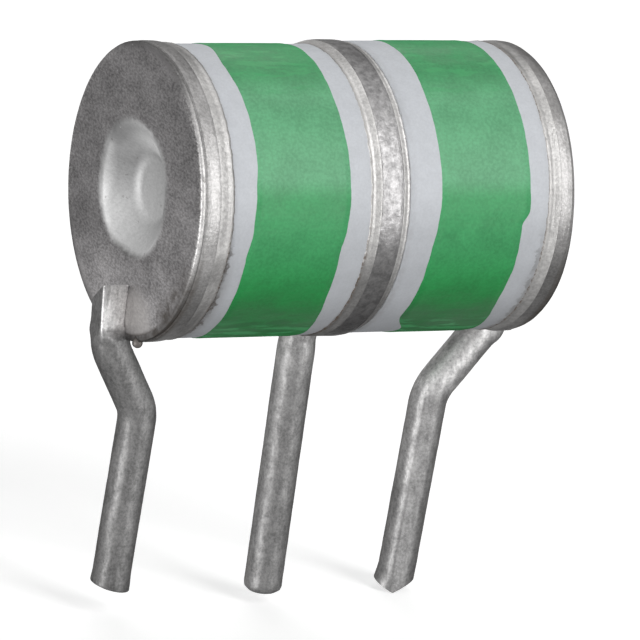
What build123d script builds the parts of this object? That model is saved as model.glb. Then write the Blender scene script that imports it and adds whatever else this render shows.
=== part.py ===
from build123d import *
from math import cos, hypot, radians, sin, sqrt, tan
import os

# Three-electrode gas discharge tube with radial leads, in millimetres.
# +X runs along the tube's axis and +Z points up. The leads point down, and the origin is on
# the middle lead's axis, at the height of the board that the straight pins pass through.

# Tube
axis_height = 6.70
body_length = 11.70
ceramic_radius = 4.00
ceramic_wall = 1.10
flange_proud = 0.10
ceramic_bore_chamfer = 0.15

# End electrodes
flange_thickness = 0.60
flange_bevel_width = 0.18
flange_bevel_drop = 0.12
groove_from_bevel = 0.04
groove_width = 0.06
groove_depth = 0.06
recess_mouth_radius = 1.88
recess_floor_radius = 1.30
recess_depth = 0.68
recess_lip_fillet = 0.14
recess_floor_fillet = 0.20
locating_clearance = 0.08
locating_step_length = 0.45
locating_land = 0.62
pip_root_fillet = 0.30
tip_to_hub_clearance = 0.65
pip_tip_fillet = 0.15
tip_to_tip = 0.90

# Waffle pits in the pip tips, and the activation compound that covers them
pit_size = 0.30
pit_pitch = 0.50
pit_depth = 0.12
pit_taper = 25
pits_across = 5
activation_margin = 0.04
activation_thickness = 0.05

# Centre electrode
rim_width = 0.60
rim_edge_chamfer = 0.04
hub_width = 1.60
hub_depth = 0.60
hub_bore_fillet = 0.20
hub_clearance = 0.10

# Braze rings, with the fillets that wet the chamfered ceramic edges
braze_thickness = 0.08
ceramic_edge_drop = 0.08
end_braze_reach = 0.30
ring_braze_reach = 0.19
braze_bulge = 0.025
braze_below_rim = 0.03

# Green lacquer bands
band_thickness = 0.04
band_width = {"left": 2.87, "right": 2.72}
band_centre = {"left": 2.77, "right": 2.90}
band_inner_skew = {"left": 0.3, "right": 2.0}
band_outer_skew = {"left": -0.5, "right": 1.8}
band_edge_room = 0.20

# Graphite ignition stripes on the ceramic bores
stripe_count = 3
stripe_first_turn = 60
stripe_arc = 9
stripe_thickness = 0.03
stripe_end_gap = 0.70

# Round wire leads. Each end lead runs down its end face, bends inwards below the rim, and bends
# again just above the board. Heights are above the board, and outward distances are along X.
wire_diameter = 1.00
weld_length = 1.50
weld_set_down = 0.15
lead_depth = {"left": -0.20, "right": 0.50}
upper_bend_inset = {"left": 0.15, "right": 0.0}
upper_bend_below_rim = {"left": 0.30, "right": 0.10}
lower_bend_x = {"left": 4.93, "right": 4.68}
lower_bend_height = {"left": 0.42, "right": 0.47}
pin_end_x = {"left": 5.13, "right": 4.42}
pin_length = {"left": 4.78, "middle": 5.16, "right": 5.48}
bend_radii = {"left": [1.30, 1.10], "right": [0.70, 1.30]}

# Lead ends: slopes of the cutters' faces, each side of the ridge, and the turn of the ridge about Z
left_cut_slope = 11
right_pinch_slopes = (25, 32)
cutter_turn = -30
middle_end_chamfer = (0.22, 0.15)

# Flats pressed into the end leads by the welding jaws, and the slant of their upper ends
weld_flat_depth = 0.16
weld_flat_run_out = 0.35
top_slant_drop = 0.60
top_slant_depth = 0.40

# Weld metal: a low patch beside each end lead, a bead on the left rim, a collar under the ring
patch_radius = 0.95
patch_height = 0.09
patch_edge_fillet = 0.06
patch_above_rim = 0.85
patch_from_lead = 0.95
bead_radius = 0.15
bead_from_lead = 0.85
bead_inside_face = 0.06
bead_below_rim = 0.05
neck_length = 0.50
neck_taper = 3
collar_length = 0.32
collar_shoulder = 0.12
collar_flare = 17

wire_radius = wire_diameter / 2
flat_half_gap = wire_radius - weld_flat_depth
flange_radius = ceramic_radius + flange_proud
ceramic_bore_radius = ceramic_radius - ceramic_wall
rim_height = axis_height - flange_radius
face_x = body_length / 2
flange_inner_x = face_x - flange_thickness
rim_side_x = rim_width / 2
ceramic_outer_x = flange_inner_x - braze_thickness
ceramic_inner_x = rim_side_x + braze_thickness
tip_x = tip_to_tip / 2
locating_radius = ceramic_bore_radius - locating_clearance
pip_root_radius = locating_radius - locating_land
braze_inner_radius = ceramic_bore_radius + ceramic_bore_chamfer
face_edge_radius = flange_radius - flange_bevel_drop
hub_radius = ceramic_bore_radius - hub_clearance
hub_bore_radius = hub_radius - hub_depth
pip_tip_radius = hub_bore_radius - tip_to_hub_clearance
activation_radius = pip_tip_radius - pip_tip_fillet - activation_margin
pit_field_radius = activation_radius - pit_size / sqrt(2)
cut_room = 1.2 * wire_radius
cut_reach = 2 * wire_diameter
body_axis = Axis((0, 0, axis_height), (1, 0, 0))
sides = {"left": -1, "right": 1}

os.makedirs("parts", exist_ok=True)


def half_plane(side):
    """Plane through the tube's axis: local X runs outwards to that side, local Y is the radius."""
    return Plane(origin=(0, 0, axis_height), x_dir=(side, 0, 0), z_dir=(0, -side, 0))


def corner(sketch, x, radius):
    """The vertex of a profile that lies nearest to a point."""
    return sketch.vertices().sort_by_distance((x, radius))[0]


# The tube's outer envelope, used to trim what is welded to it
with BuildPart() as envelope:
    with BuildSketch(Plane.YZ.offset(-face_x)):
        with Locations((0, axis_height)):
            Circle(flange_radius)
    extrude(amount=body_length)


def pit_places():
    """Centres of the waffle pits that lie inside the pit field, in the tip's own plane."""
    half = (pits_across - 1) / 2
    steps = [(index - half) * pit_pitch for index in range(pits_across)]
    return [(y, z) for y in steps for z in steps if hypot(y, z) < pit_field_radius]


def tip_plane(side):
    """Plane of a pip's tip face, with its normal towards the other tip."""
    return Plane(origin=(side * tip_x, 0, axis_height), x_dir=(0, side, 0), z_dir=(-side, 0, 0))


def end_electrode(side):
    """Turned disc with a bevelled, grooved rim, a dished recess outside and a pip inside."""
    step_x = flange_inner_x - locating_step_length
    floor_x = face_x - recess_depth
    bevel_x = face_x - flange_bevel_width
    groove_x = bevel_x - groove_from_bevel
    with BuildPart() as electrode:
        with BuildSketch(half_plane(side)) as section:
            with BuildLine():
                Polyline(
                    (tip_x, 0),
                    (tip_x, pip_tip_radius),
                    (step_x, pip_root_radius),
                    (step_x, locating_radius),
                    (flange_inner_x, locating_radius),
                    (flange_inner_x, flange_radius),
                    (groove_x - groove_width, flange_radius),
                    (groove_x - groove_width, flange_radius - groove_depth),
                    (groove_x, flange_radius - groove_depth),
                    (groove_x, flange_radius),
                    (bevel_x, flange_radius),
                    (face_x, face_edge_radius),
                    (face_x, recess_mouth_radius),
                    (floor_x, recess_floor_radius),
                    (floor_x, 0),
                    close=True,
                )
            make_face()
            fillet(corner(section, tip_x, pip_tip_radius), radius=pip_tip_fillet)
            fillet(corner(section, step_x, pip_root_radius), radius=pip_root_fillet)
            fillet(corner(section, face_x, recess_mouth_radius), radius=recess_lip_fillet)
            fillet(corner(section, floor_x, recess_floor_radius), radius=recess_floor_fillet)
        revolve(axis=body_axis)
        with BuildSketch(tip_plane(side)):
            with Locations(*pit_places()):
                Rectangle(pit_size, pit_size)
        extrude(amount=-pit_depth, taper=pit_taper, mode=Mode.SUBTRACT)
    return electrode


def activation_coat(side):
    """Glassy compound over the tip, with its roots in the waffle pits."""
    with BuildPart() as coat:
        with BuildSketch(tip_plane(side)):
            Circle(activation_radius)
        extrude(amount=activation_thickness)
        with BuildSketch(tip_plane(side)):
            with Locations(*pit_places()):
                Rectangle(pit_size, pit_size)
        extrude(amount=-pit_depth, taper=pit_taper)
    return coat


def ceramic_tube(side):
    """Alumina tube whose ends are chamfered for the braze."""
    low_radius = ceramic_radius - ceramic_edge_drop
    bore_edge = ceramic_bore_radius + ceramic_bore_chamfer
    with BuildPart() as tube:
        with BuildSketch(half_plane(side)):
            with BuildLine():
                Polyline(
                    (ceramic_inner_x, bore_edge),
                    (ceramic_inner_x, low_radius),
                    (ceramic_inner_x + ring_braze_reach, ceramic_radius),
                    (ceramic_outer_x - end_braze_reach, ceramic_radius),
                    (ceramic_outer_x, low_radius),
                    (ceramic_outer_x, bore_edge),
                    (ceramic_outer_x - ceramic_bore_chamfer, ceramic_bore_radius),
                    (ceramic_inner_x + ceramic_bore_chamfer, ceramic_bore_radius),
                    close=True,
                )
            make_face()
        revolve(axis=body_axis)
    return tube


def braze_ring(side, metal_x, ceramic_x, reach):
    """Braze between a metal face and a ceramic end, with its fillet over the ceramic's chamfer."""
    low_radius = ceramic_radius - ceramic_edge_drop
    top_radius = flange_radius - braze_below_rim
    reach_x = ceramic_x + reach
    with BuildPart() as ring:
        with BuildSketch(half_plane(side)):
            with BuildLine():
                Polyline(
                    (reach_x, ceramic_radius),
                    (ceramic_x, low_radius),
                    (ceramic_x, braze_inner_radius),
                    (metal_x, braze_inner_radius),
                    (metal_x, top_radius),
                )
                middle_x = (metal_x + reach_x) / 2
                middle_radius = (top_radius + ceramic_radius) / 2 + braze_bulge
                ThreePointArc(
                    (metal_x, top_radius), (middle_x, middle_radius), (reach_x, ceramic_radius)
                )
            make_face()
        revolve(axis=body_axis)
    return ring


def marking_band(side_name):
    """Coat of lacquer round one ceramic, with its two edges a little out of square."""
    side = sides[side_name]
    inner_x = band_centre[side_name] - band_width[side_name] / 2
    outer_x = band_centre[side_name] + band_width[side_name] / 2
    inner_cut = Plane(
        origin=(side * inner_x, 0, axis_height),
        z_dir=Vector(side, 0, 0).rotate(Axis.Y, band_inner_skew[side_name]),
    )
    outer_cut = Plane(
        origin=(side * outer_x, 0, axis_height),
        z_dir=Vector(side, 0, 0).rotate(Axis.Y, band_outer_skew[side_name]),
    )
    with BuildPart() as band:
        with BuildSketch(half_plane(side)):
            with BuildLine():
                Polyline(
                    (inner_x - band_edge_room, ceramic_radius),
                    (outer_x + band_edge_room, ceramic_radius),
                    (outer_x + band_edge_room, ceramic_radius + band_thickness),
                    (inner_x - band_edge_room, ceramic_radius + band_thickness),
                    close=True,
                )
            make_face()
        revolve(axis=body_axis)
        split(bisect_by=inner_cut, keep=Keep.TOP)
        split(bisect_by=outer_cut, keep=Keep.BOTTOM)
    return band


def ignition_stripes(side):
    """Graphite lines drawn along the ceramic's bore, short of both of its ends."""
    with BuildPart() as stripes:
        for index in range(stripe_count):
            turn = stripe_first_turn + 360 * index / stripe_count
            with BuildSketch(half_plane(side).rotated((turn, 0, 0))):
                with BuildLine():
                    Polyline(
                        (ceramic_inner_x + stripe_end_gap, ceramic_bore_radius - stripe_thickness),
                        (ceramic_inner_x + stripe_end_gap, ceramic_bore_radius),
                        (ceramic_outer_x - stripe_end_gap, ceramic_bore_radius),
                        (ceramic_outer_x - stripe_end_gap, ceramic_bore_radius - stripe_thickness),
                        close=True,
                    )
                make_face()
            revolve(axis=body_axis, revolution_arc=stripe_arc)
    return stripes


end_electrodes = {}
for side_name, side in sides.items():
    electrode = end_electrode(side)
    end_electrodes[side_name] = electrode
    electrode.part.label = f"end_electrode_{side_name}"
    export_step(electrode.part, f"parts/end_electrode_{side_name}.step")

    coat = activation_coat(side)
    coat.part.label = f"activation_compound_{side_name}"
    export_step(coat.part, f"parts/activation_compound_{side_name}.step")

    tube = ceramic_tube(side)
    tube.part.label = f"ceramic_tube_{side_name}"
    export_step(tube.part, f"parts/ceramic_tube_{side_name}.step")

    stripes = ignition_stripes(side)
    stripes.part.label = f"ignition_stripes_{side_name}"
    export_step(stripes.part, f"parts/ignition_stripes_{side_name}.step")

    outer_ring = braze_ring(side, flange_inner_x, ceramic_outer_x, -end_braze_reach)
    outer_ring.part.label = f"end_braze_ring_{side_name}"
    export_step(outer_ring.part, f"parts/end_braze_ring_{side_name}.step")

    inner_ring = braze_ring(side, rim_side_x, ceramic_inner_x, ring_braze_reach)
    inner_ring.part.label = f"centre_braze_ring_{side_name}"
    export_step(inner_ring.part, f"parts/centre_braze_ring_{side_name}.step")

    band = marking_band(side_name)
    band.part.label = f"marking_band_{side_name}"
    export_step(band.part, f"parts/marking_band_{side_name}.step")


# Centre electrode: a web with a proud rim outside and a wider hub inside the ceramics
with BuildPart() as centre_electrode:
    with BuildSketch(half_plane(1)) as ring_section:
        with BuildLine():
            Polyline(
                (-hub_width / 2, hub_bore_radius),
                (-hub_width / 2, hub_radius),
                (-rim_side_x, hub_radius),
                (-rim_side_x, flange_radius),
                (rim_side_x, flange_radius),
                (rim_side_x, hub_radius),
                (hub_width / 2, hub_radius),
                (hub_width / 2, hub_bore_radius),
                close=True,
            )
        make_face()
        for end in (-1, 1):
            fillet(corner(ring_section, end * hub_width / 2, hub_bore_radius), radius=hub_bore_fillet)
            chamfer(corner(ring_section, end * rim_side_x, flange_radius), length=rim_edge_chamfer)
    revolve(axis=body_axis)
centre_electrode.part.label = "centre_electrode"
export_step(centre_electrode.part, "parts/centre_electrode.step")


def lead_plane(y):
    """Upright plane at one depth: local X is X, local Y is Z."""
    return Plane(origin=(0, y, 0), x_dir=(1, 0, 0), z_dir=(0, -1, 0))


def lead_route(side_name):
    """Corner points of an end lead's centre line, from its weld to its free end, as X and Z."""
    side = sides[side_name]
    weld_x = face_x + wire_radius - weld_set_down
    upper_x = weld_x - upper_bend_inset[side_name]
    return [
        (side * weld_x, rim_height + weld_length),
        (side * upper_x, rim_height - upper_bend_below_rim[side_name]),
        (side * lower_bend_x[side_name], lower_bend_height[side_name]),
        (side * pin_end_x[side_name], -pin_length[side_name]),
    ]


def run_on(start, end, length):
    """The point that lies a length beyond the end of a run, so that a cut can take the rest off."""
    run = Vector(*end) - Vector(*start)
    beyond = Vector(*end) + run.normalized() * length
    return (beyond.X, beyond.Y)


def top_slant(side, top_x, top_z):
    """Triangle that the cutters take off the outer side of an end lead's upper end."""
    edge_x = top_x + side * (wire_radius - top_slant_depth)
    run_x = side * top_slant_depth
    return [
        (edge_x - run_x, top_z + top_slant_drop),
        (edge_x + 2 * run_x, top_z - 2 * top_slant_drop),
        (edge_x + 2 * run_x, top_z + top_slant_drop),
    ]


def end_cut(side_name):
    """Outline of what the cutters take off, about the lead's lowest point."""
    if side_name == "left":
        slope = tan(radians(left_cut_slope))
        edge = wire_radius * slope
        return [
            (-cut_reach, edge + cut_reach * slope),
            (cut_reach, edge - cut_reach * slope),
            (cut_reach, -cut_reach),
            (-cut_reach, -cut_reach),
        ]
    left_rise, right_rise = [cut_reach * tan(radians(slope)) for slope in right_pinch_slopes]
    return [
        (-cut_reach, left_rise),
        (0, 0),
        (cut_reach, right_rise),
        (cut_reach, -cut_reach),
        (-cut_reach, -cut_reach),
    ]


def end_lead(side_name):
    """Formed round wire, flattened along its weld and trimmed where it is pressed on the body."""
    side = sides[side_name]
    y = lead_depth[side_name]
    points = lead_route(side_name)
    top_x, top_z = points[0]
    end_x, end_z = points[-1]
    points[-1] = run_on(points[-2], points[-1], wire_radius)
    turn = radians(cutter_turn)
    cut_plane = Plane(
        origin=(end_x, y, end_z),
        x_dir=(cos(turn), sin(turn), 0),
        z_dir=(sin(turn), -cos(turn), 0),
    )
    with BuildPart() as lead:
        with BuildLine(lead_plane(y)) as route:
            FilletPolyline(*points, radius=bend_radii[side_name])
        with BuildSketch(Plane(origin=route.line @ 0, z_dir=route.line % 0)):
            Circle(wire_radius)
        sweep()
        with BuildSketch(lead_plane(y)):
            with BuildLine():
                Polyline(*top_slant(side, top_x, top_z), close=True)
            make_face()
        extrude(amount=cut_room, both=True, mode=Mode.SUBTRACT)
        with BuildSketch(Plane.YZ.offset(top_x)):
            for front in (-1, 1):
                with BuildLine():
                    Polyline(
                        (y + front * flat_half_gap, top_z + cut_room),
                        (y + front * flat_half_gap, rim_height),
                        (y + front * cut_room, rim_height - weld_flat_run_out),
                        (y + front * cut_room, top_z + cut_room),
                        close=True,
                    )
                make_face()
        extrude(amount=wire_diameter, both=True, mode=Mode.SUBTRACT)
        with BuildSketch(cut_plane):
            with BuildLine():
                Polyline(*end_cut(side_name), close=True)
            make_face()
        extrude(amount=wire_diameter, both=True, mode=Mode.SUBTRACT)
        add(envelope.part, mode=Mode.SUBTRACT)
    return lead


def end_weld(side_name, with_bead):
    """Low patch of weld metal on the end face in front of a lead, and a bead on the rim below it."""
    side = sides[side_name]
    flat_y = lead_depth[side_name] - flat_half_gap
    patch_y = lead_depth[side_name] - patch_from_lead
    patch_z = rim_height + patch_above_rim
    bead_y = lead_depth[side_name] - bead_from_lead
    bead_reach = flange_radius + bead_below_rim
    bead_z = axis_height - sqrt(bead_reach**2 - bead_y**2)
    with BuildPart() as weld:
        with BuildSketch(Plane.YZ.offset(side * (face_x - flange_bevel_width))):
            with Locations((patch_y, patch_z)):
                Circle(patch_radius)
            with Locations((0, axis_height)):
                Circle(flange_radius, mode=Mode.INTERSECT)
            with Locations((flat_y, patch_z)):
                Rectangle(
                    2 * patch_radius,
                    2 * patch_radius,
                    align=(Align.MAX, Align.CENTER),
                    mode=Mode.INTERSECT,
                )
        extrude(amount=side * (flange_bevel_width + patch_height))
        outer_face = weld.faces().sort_by_distance((side * body_length, patch_y, patch_z))[0]
        fillet(outer_face.edges(), radius=patch_edge_fillet)
        if with_bead:
            with Locations((side * (face_x - bead_inside_face), bead_y, bead_z)):
                Sphere(bead_radius)
        add(end_electrodes[side_name].part, mode=Mode.SUBTRACT)
    return weld


for side_name in sides:
    lead = end_lead(side_name)
    lead.part.label = f"lead_{side_name}"
    export_step(lead.part, f"parts/lead_{side_name}.step")

    weld = end_weld(side_name, with_bead=side_name == "left")
    weld.part.label = f"weld_{side_name}"
    export_step(weld.part, f"parts/weld_{side_name}.step")


# Middle lead: straight wire, its upper end necked by the weld and saddled onto the ring's rim
neck_foot = rim_height - neck_length
collar_foot = rim_height - collar_length
cut_height = rim_height + cut_room


def neck_radius(height):
    """Radius of the middle lead's tapered neck at a height."""
    return wire_radius - (height - neck_foot) * tan(radians(neck_taper))


with BuildPart() as lead_middle:
    with BuildSketch(Plane.XZ):
        with BuildLine():
            Polyline(
                (0, -pin_length["middle"]),
                (wire_radius - middle_end_chamfer[1], -pin_length["middle"]),
                (wire_radius, middle_end_chamfer[0] - pin_length["middle"]),
                (wire_radius, neck_foot),
                (neck_radius(cut_height), cut_height),
                (0, cut_height),
                close=True,
            )
        make_face()
    revolve(axis=Axis.Z)
    add(envelope.part, mode=Mode.SUBTRACT)
lead_middle.part.label = "lead_middle"
export_step(lead_middle.part, "parts/lead_middle.step")

# Collar of weld metal round the middle lead's neck, under the rim
shoulder_height = collar_foot + collar_shoulder
with BuildPart() as weld_middle:
    with BuildSketch(Plane.XZ):
        with BuildLine():
            Polyline(
                (neck_radius(collar_foot), collar_foot),
                (neck_radius(cut_height), cut_height),
                (wire_radius + (cut_height - shoulder_height) * tan(radians(collar_flare)), cut_height),
                (wire_radius, shoulder_height),
                close=True,
            )
        make_face()
    revolve(axis=Axis.Z)
    add(envelope.part, mode=Mode.SUBTRACT)
weld_middle.part.label = "weld_middle"
export_step(weld_middle.part, "parts/weld_middle.step")
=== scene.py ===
import math

import bmesh
import bpy
from mathutils import Matrix, Vector, noise


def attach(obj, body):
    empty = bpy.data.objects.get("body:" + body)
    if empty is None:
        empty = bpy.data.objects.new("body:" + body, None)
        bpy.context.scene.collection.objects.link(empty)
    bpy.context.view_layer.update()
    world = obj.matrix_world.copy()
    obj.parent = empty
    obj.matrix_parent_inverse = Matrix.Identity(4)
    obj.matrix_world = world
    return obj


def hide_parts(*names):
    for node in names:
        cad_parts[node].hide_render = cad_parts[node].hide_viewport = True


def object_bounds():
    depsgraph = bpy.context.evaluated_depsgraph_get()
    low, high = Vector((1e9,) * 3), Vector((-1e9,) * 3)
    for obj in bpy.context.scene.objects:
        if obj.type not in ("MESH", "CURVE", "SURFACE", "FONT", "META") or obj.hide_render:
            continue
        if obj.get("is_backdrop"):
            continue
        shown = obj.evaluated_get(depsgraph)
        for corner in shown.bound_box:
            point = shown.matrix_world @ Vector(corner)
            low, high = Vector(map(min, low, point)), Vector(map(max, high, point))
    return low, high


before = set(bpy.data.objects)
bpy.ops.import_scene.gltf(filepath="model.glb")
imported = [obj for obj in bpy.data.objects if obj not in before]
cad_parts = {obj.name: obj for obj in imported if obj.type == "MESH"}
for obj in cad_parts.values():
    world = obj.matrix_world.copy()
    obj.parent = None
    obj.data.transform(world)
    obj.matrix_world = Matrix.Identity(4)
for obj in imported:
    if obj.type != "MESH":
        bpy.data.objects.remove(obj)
cad_low, cad_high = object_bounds()

# Sizes are in millimetres and become metres when a mesh is made. +X runs along the tube's axis,
# +Z points up, and the tube's axis lies at axis_height above the board. Profiles give x from the
# tube's middle outwards and r from its axis.
MM = 0.001
sides = {"left": -1, "right": 1}

axis_height = 6.70
body_centre = Vector((0, 0, axis_height))

# End electrodes: a flange with a recess in its face, a step in the ceramic's bore and a pip
face_x = 5.85
flange_inner_x = 5.25
flange_radius = 4.10
face_edge_radius = 3.98
recess_floor_x = 5.17
recess_floor_radius = 0.85
recess_mouth_radius = 1.90
locating_x = 4.80
locating_radius = 2.82
pip_base_radius = 2.20
pip_tip_x = 0.45
pip_tip_radius = 1.55

# Centre electrode: a rim between the ceramics and a thicker hub in their bores
rim_side_x = 0.30
rim_left_x = 0.37
rim_height = axis_height - flange_radius
hub_x = 0.80
hub_radius = 2.80
hub_bore_radius = 2.20

# Ceramic tubes, and the braze on their chamfered ends
ceramic_radii = {"left": 4.01, "right": 4.04}
ceramic_bore_radius = 2.90
ceramic_mouth_radius = 3.05
ceramic_end_radius = 3.92
ceramic_middle_x = 2.8
ceramic_inner_x = 0.38
ceramic_outer_x = 5.17
braze_inner_radius = 3.06

wire_radius = 0.545

round_segments = 288
braze_segments = 720
band_segments = 540
wire_segments = 56
weld_segments = 96

# The two halves were brazed a few hundredths of a millimetre off the middle, down and up
half_shift = {"left": -0.045, "right": 0.025}


# Geometry helpers


def piece(name, bm, node, key, sharp_angle=38):
    """Turns a mesh built in millimetres into a piece of the object, in place of a CAD node."""
    bmesh.ops.recalc_face_normals(bm, faces=bm.faces)
    bmesh.ops.scale(bm, vec=(MM, MM, MM), verts=bm.verts)
    mesh = bpy.data.meshes.new(name)
    bm.to_mesh(mesh)
    bm.free()
    mesh.polygons.foreach_set("use_smooth", [True] * len(mesh.polygons))
    mesh.set_sharp_from_angle(angle=math.radians(sharp_angle))
    obj = placed(name, mesh)
    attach(obj, "root")
    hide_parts(node)
    dress(obj, key)


def placed(name, data):
    obj = bpy.data.objects.new(name, data)
    bpy.context.scene.collection.objects.link(obj)
    return obj


def dress(obj, key):
    obj.data.materials.clear()
    obj.data.materials.append(materials[key])


def smoothstep(low, high, value):
    share = min(max((value - low) / (high - low), 0), 1)
    return share * share * (3 - 2 * share)


def rough(point, scale, seed=0):
    """Smooth noise from -1 to 1 at a point in millimetres."""
    return noise.noise(Vector(point) * scale + Vector((seed * 7.3, seed * 3.1, seed * 5.7)))


def turns(count):
    """Angles of a full turn in equal parts."""
    return [2 * math.pi * index / count for index in range(count)]


def around(x, r, angle):
    """Point at a distance from the tube's axis. Angle 0 faces the front, and it grows upwards."""
    share = smoothstep(3.0, 3.3, r)
    left = half_shift["left"] * smoothstep(-0.25, -0.8, x)
    right = half_shift["right"] * smoothstep(0.25, 0.8, x)
    height = axis_height + (left + right) * share + r * math.sin(angle)
    return Vector((x, -r * math.cos(angle), height))


def fillet(before, here, after, radius):
    """Start, end and sweep of an arc that rounds a corner, and its point at a share of the sweep."""
    back = (before - here).normalized()
    ahead = (after - here).normalized()
    half = back.angle(ahead) / 2
    start = here + back * radius / math.tan(half)
    end = here + ahead * radius / math.tan(half)
    centre = here + (back + ahead).normalized() * radius / math.sin(half)
    arm, far_arm = start - centre, end - centre
    sweep = arm.angle(far_arm)

    def at(share):
        out = math.sin((1 - share) * sweep) * arm + math.sin(share * sweep) * far_arm
        return centre + out / math.sin(sweep)

    return start, end, sweep, at


def rounded(corners, steps=5):
    """Profile through corners (x, r, fillet radius), each corner rounded by its radius."""
    points = [Vector(corner[:2]) for corner in corners]
    line = []
    for index, (x, r, radius) in enumerate(corners):
        if radius == 0:
            line.append((x, r))
            continue
        at = fillet(*points[index - 1:index + 2], radius)[-1]
        line += [tuple(at(step / steps)) for step in range(steps + 1)]
    return line


def divided(line, longest):
    """The same profile with long runs divided, so that a surface can be uneven along them."""
    out = [line[0]]
    for (x0, r0), (x1, r1) in zip(line[:-1], line[1:]):
        parts = max(1, math.ceil(math.hypot(x1 - x0, r1 - r0) / longest))
        for part in range(1, parts + 1):
            share = part / parts
            out.append((x0 + (x1 - x0) * share, r0 + (r1 - r0) * share))
    return out


def skinned(bm, loops, closed=False):
    """Faces between neighbouring loops of points. A loop of one point is a pole."""
    pairs = list(zip(loops[:-1], loops[1:]))
    if closed:
        pairs.append((loops[-1], loops[0]))
    for first, second in pairs:
        count = max(len(first), len(second))
        for index in range(count):
            after = (index + 1) % count
            if len(first) == 1:
                bm.faces.new((first[0], second[index], second[after]))
            elif len(second) == 1:
                bm.faces.new((first[index], second[0], first[after]))
            else:
                bm.faces.new((first[index], second[index], second[after], first[after]))


def turned(line, side, closed, uneven=None, segments=round_segments):
    """Solid of revolution about the tube's axis. uneven gives each point's shift in x and r."""
    bm = bmesh.new()
    rings = []
    for x, r in line:
        ring = []
        for angle in turns(segments) if r else [0]:
            dx, dr = uneven(x, r, angle) if uneven and r else (0, 0)
            ring.append(bm.verts.new(around(side * (x + dx), r + dr, angle)))
        rings.append(ring)
    skinned(bm, rings, closed)
    return bm


# Node helpers. Each makes its node in the node tree of the sockets that it is given.


def put(target, value):
    """Links a socket to the target, or sets the target to a value."""
    if isinstance(value, bpy.types.NodeSocket):
        value.id_data.links.new(value, target)
    else:
        target.default_value = value


def filled(kind, *values, **settings):
    """New node beside the sockets among the values, which fill its inputs in order."""
    tree = next(value.id_data for value in values if isinstance(value, bpy.types.NodeSocket))
    node = tree.nodes.new(kind)
    for key, value in settings.items():
        setattr(node, key, value)
    for socket, value in zip(node.inputs, values):
        put(socket, value)
    return node


def calc(operation, first, *others):
    """Result of a math node, or of a chain of them for more than two values."""
    for other in others or (0.0,):
        first = filled("ShaderNodeMath", first, other, operation=operation).outputs[0]
    return first


def times(*values):
    return calc("MULTIPLY", *values)


def plus(*values):
    return calc("ADD", *values)


def most(*values):
    return calc("MAXIMUM", *values)


def ramp(value, low, high, to_low=0.0, to_high=1.0):
    """Smooth change from to_low to to_high while the value goes from low to high."""
    values = (value, low, high, to_low, to_high)
    return filled("ShaderNodeMapRange", *values, interpolation_type="SMOOTHSTEP").outputs[0]


def within(mask, tone):
    """The tone where the mask is 1, and 1 where the mask is 0."""
    return ramp(mask, 0.0, 1.0, 1.0, tone)


def swing(noise_value, spread):
    """Noise that goes about as far below zero as above it."""
    return times(calc("SUBTRACT", noise_value, 0.5), spread)


def mix(factor, first, second):
    """The first colour where the factor is 0, and the second where it is 1."""
    node = filled("ShaderNodeMix", factor, data_type="RGBA")
    for socket, value in ((node.inputs[6], first), (node.inputs[7], second)):
        put(socket, (*value, 1) if isinstance(value, tuple) else value)
    return node.outputs[2]


def layered(colour, *layers):
    """The colour under layers, each a mask and a colour."""
    for mask, layer in layers:
        colour = mix(mask, colour, layer)
    return colour


def shaded(colour, *shares):
    """The colour times each number in turn."""
    unused = (0, 0, 0)
    for share in shares:
        values = (colour, unused, unused, share)
        colour = filled("ShaderNodeVectorMath", *values, operation="SCALE").outputs[0]
    return colour


class Shade:
    """A node material with object coordinates in millimetres."""

    def __init__(self, name):
        self.material = bpy.data.materials.new(name)
        self.material.use_nodes = True
        self.tree = self.material.node_tree
        self.surface = self.tree.nodes["Principled BSDF"]
        self.place = shaded(self.tree.nodes.new("ShaderNodeTexCoord").outputs["Object"], 1 / MM)
        self.relief = None

    def pattern(self, kind, place, **inputs):
        node = self.tree.nodes.new(kind)
        put(node.inputs["Vector"], place)
        for name, value in inputs.items():
            put(node.inputs[name], value)
        return node.outputs

    def noise(self, scale, detail, roughness, stretch=(1, 1, 1), seed=0.0):
        """Noise from about 0.2 to 0.8, with features of about 1 / scale millimetres."""
        away = (seed, seed * 1.7, seed * 2.3)
        place = self.pattern("ShaderNodeMapping", self.place, Scale=stretch, Location=away)[0]
        grain = {"Scale": scale, "Detail": detail, "Roughness": roughness}
        return self.pattern("ShaderNodeTexNoise", place, **grain)[0]

    def axes(self, wanted):
        """Row coordinates x and y, height z above the tube's axis, or distance r from it."""
        x, y, height = filled("ShaderNodeSeparateXYZ", self.place).outputs
        z = calc("SUBTRACT", height, axis_height)
        found = {"x": x, "y": y, "z": z, "r": calc("SQRT", plus(times(y, y), times(z, z)))}
        return [found[name] for name in wanted]

    def grazing(self, largest):
        """Grows to its largest where the surface is seen edge on."""
        node = self.tree.nodes.new("ShaderNodeLayerWeight")
        node.inputs["Blend"].default_value = 0.5
        return times(calc("POWER", node.outputs["Facing"], 3.0), largest)

    def bump(self, height, depth):
        """Adds relief: height from 0 to 1, depth in millimetres."""
        node = self.tree.nodes.new("ShaderNodeBump")
        put(node.inputs["Strength"], 1)
        put(node.inputs["Distance"], depth * MM)
        put(node.inputs["Height"], height)
        if self.relief is not None:
            put(node.inputs["Normal"], self.relief)
        self.relief = node.outputs[0]

    def finish(self, colour, roughness, metallic=1.0, specular=0.5):
        inputs = self.surface.inputs
        put(inputs["Base Color"], colour)
        put(inputs["Roughness"], roughness)
        put(inputs["Metallic"], metallic)
        if metallic:
            put(inputs["Specular Tint"], (0.35, 0.35, 0.35, 1))
        put(inputs["Specular IOR Level"], specular)
        put(inputs["Normal"], self.relief)
        return self.material


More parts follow.
